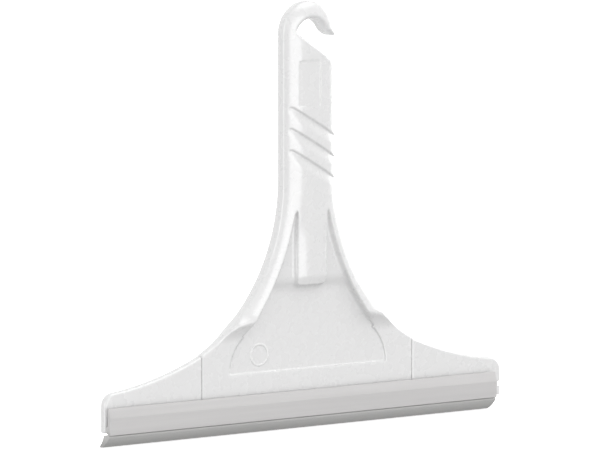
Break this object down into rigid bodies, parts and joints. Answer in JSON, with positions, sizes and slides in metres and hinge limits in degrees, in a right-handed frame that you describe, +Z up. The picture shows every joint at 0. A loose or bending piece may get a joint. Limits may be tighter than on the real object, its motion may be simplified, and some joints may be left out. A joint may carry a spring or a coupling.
{
  "type": "window cleaning squeegee",
  "caption": "Hooked-handle window squeegee: a flared body with end fairings, a slide-in blade holder along the bottom and a wiping lip that bends back.",
  "frame": {"origin": "middle of the overall box in plan, at the height of the wiping lip's tip", "axes": "+X along the blade towards the end where the blade slides out, +Z up the handle to the hook, -Y towards the side that carries the blade"},
  "size_m": [0.3, 0.013, 0.257],
  "materials": {
    "white_plastic": "glossy white moulded plastic",
    "grey_plastic": "satin light grey extruded plastic",
    "rubber_lip": "matt grey soft rubber"
  },
  "bodies": {
    "body": {"handle_body": "white_plastic", "left_wing": "white_plastic", "right_wing": "white_plastic"},
    "blade": {"blade_holder": "grey_plastic"},
    "lip": {"blade_lip": "rubber_lip"}
  },
  "joints": [
    {"name": "blade_slide", "type": "slide", "parent": "body", "child": "blade", "axis": [1, 0, 0], "range_m": [0, 0.26]},
    {"name": "lip_flex", "type": "hinge", "parent": "blade", "child": "lip", "pos_m": [0, -0.00425, 0.0106], "axis": [1, 0, 0], "range_deg": [-10, 12], "stiffness_Nm_per_rad": 0.4}
  ]
}
